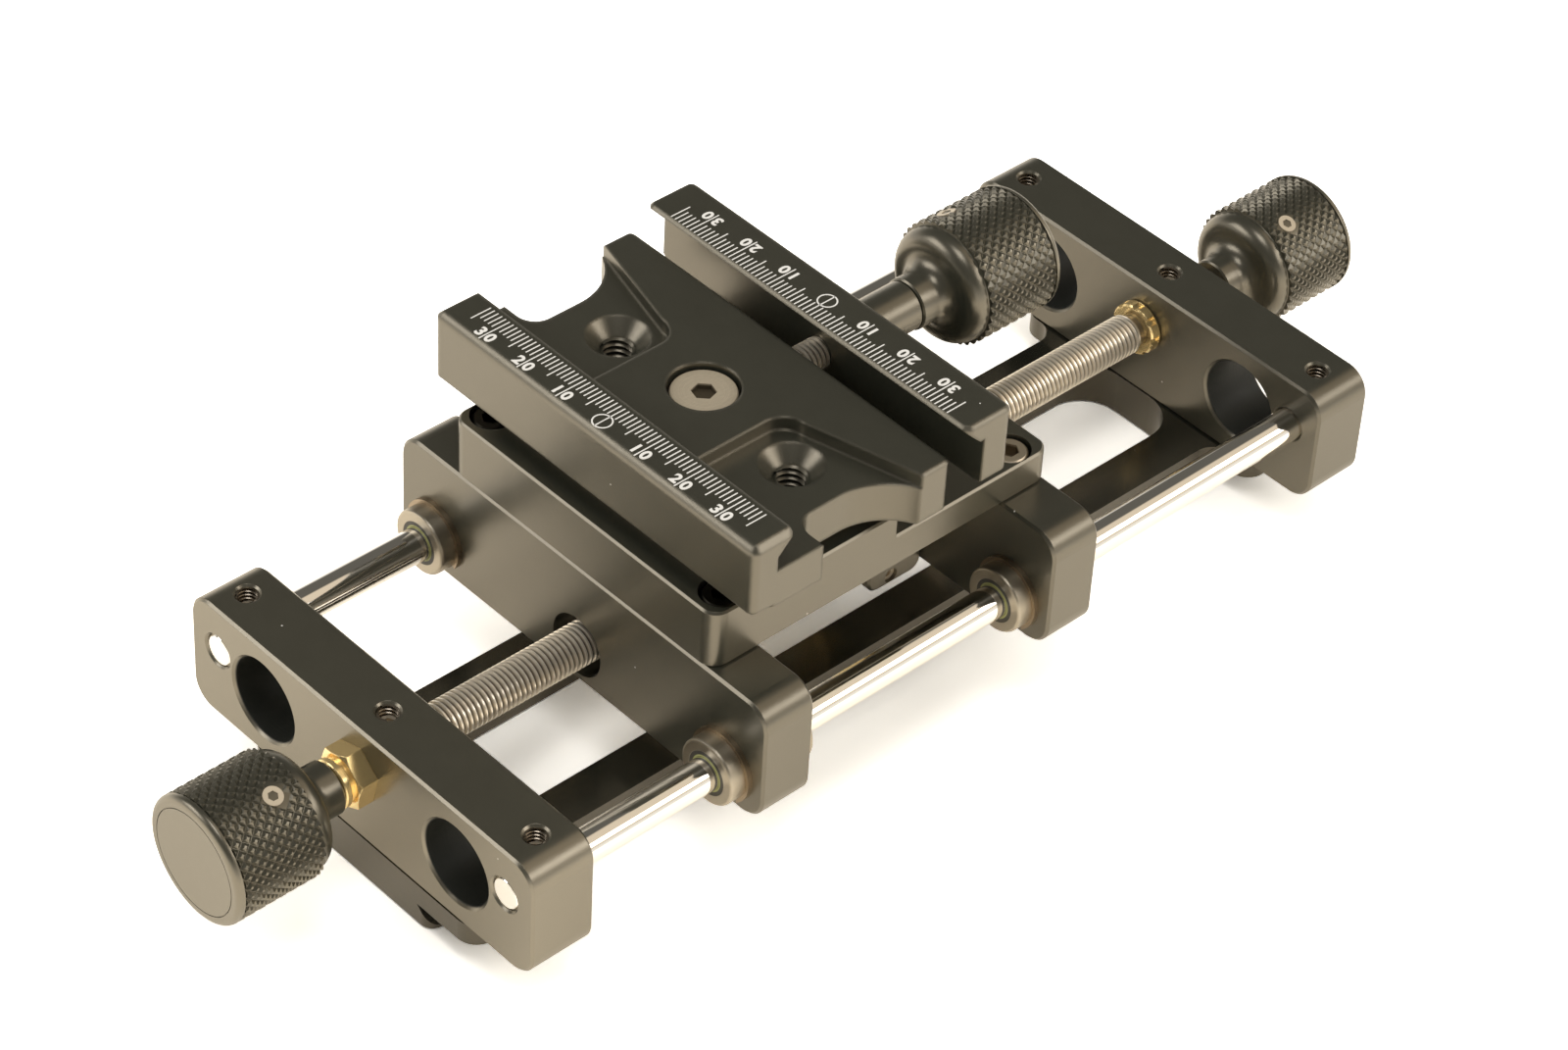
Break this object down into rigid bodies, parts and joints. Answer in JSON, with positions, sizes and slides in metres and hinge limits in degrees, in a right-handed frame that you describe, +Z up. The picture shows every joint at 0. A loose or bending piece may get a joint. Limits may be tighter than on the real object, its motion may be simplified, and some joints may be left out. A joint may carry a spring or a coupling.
{
  "type": "macro focusing rail",
  "caption": "Screw-driven focusing rail: a carriage with a jaw clamp slides on parallel shafts between end plates over a dovetail base, moved by knobs.",
  "frame": {"origin": "centre of the rail at the underside of the dovetail foot, midway between the end plates", "axes": "+X along the lead screw towards the clamp knob's end, +Y to the left seen from the near knob, +Z up"},
  "size_m": [0.269, 0.0954, 0.073],
  "materials": {
    "black_anodised": "satin black anodised, fine bead-blasted grain, edges broken bright",
    "polished_shaft": "ground and polished, mirror bright",
    "screw_steel": "rolled stainless thread, bright crests and dark roots",
    "fastener_steel": "stainless, turned",
    "bright_brass": "turned and polished",
    "bronze_ring": "satin spring bronze",
    "seal_lime": "matte rubber seal",
    "bearing_steel": "ground steel shell",
    "knob_black": "black anodised, turned bell and diamond knurl",
    "knob_rim": "black anodised, turned rim with a lighter worn face"
  },
  "bodies": {
    "base": {"base_plate": "black_anodised", "base_screws": "fastener_steel", "near_end_plate": "black_anodised", "far_end_plate": "black_anodised", "left_shaft": "polished_shaft", "right_shaft": "polished_shaft", "plate_set_screws": "fastener_steel", "near_bushing": "bright_brass", "far_bushing": "bright_brass"},
    "lead": {"lead_screw": "screw_steel", "near_knob": "knob_black", "near_knob_cap": "knob_rim", "near_knob_screw": "fastener_steel", "far_knob": "knob_black", "far_knob_cap": "knob_rim", "far_knob_screw": "fastener_steel"},
    "carriage": {"front_crossbar": "black_anodised", "rear_crossbar": "black_anodised", "carriage_plate": "black_anodised", "carriage_screws": "fastener_steel", "front_left_bearing": "bearing_steel", "front_right_bearing": "bearing_steel", "rear_left_bearing": "bearing_steel", "rear_right_bearing": "bearing_steel", "bearing_seals": "seal_lime", "snap_rings": "bronze_ring", "nut_block": "black_anodised", "nut_block_screws": "fastener_steel", "lead_nut": "bright_brass", "nut_lock_screw": "fastener_steel", "clamp_riser": "black_anodised", "clamp_body": "black_anodised", "clamp_centre_screw": "fastener_steel"},
    "jaw": {"moving_jaw": "black_anodised"},
    "spindle": {"clamp_screw": "screw_steel", "clamp_sleeve": "black_anodised", "clamp_knob": "knob_black", "clamp_knob_cap": "knob_rim", "clamp_knob_screw": "fastener_steel"}
  },
  "joints": [
    {"name": "lead_turn", "type": "hinge", "parent": "base", "child": "lead", "pos_m": [0, 0, 0.0237], "axis": [1, 0, 0], "range_deg": [-19400, 10290]},
    {"name": "carriage_slide", "type": "slide", "parent": "base", "child": "carriage", "axis": [1, 0, 0], "range_m": [-0.0302, 0.057]},
    {"name": "jaw_slide", "type": "slide", "parent": "carriage", "child": "jaw", "axis": [1, 0, 0], "range_m": [-0.0078, 0.0035]},
    {"name": "clamp_turn", "type": "hinge", "parent": "jaw", "child": "spindle", "pos_m": [0, 0, 0.061], "axis": [1, 0, 0], "range_deg": [-2819, 1272]}
  ],
  "couplings": [
    {"joint": "lead_turn", "follows": "carriage_slide", "rad_per_m": -5936.9},
    {"joint": "clamp_turn", "follows": "jaw_slide", "rad_per_m": 6283.2}
  ]
}
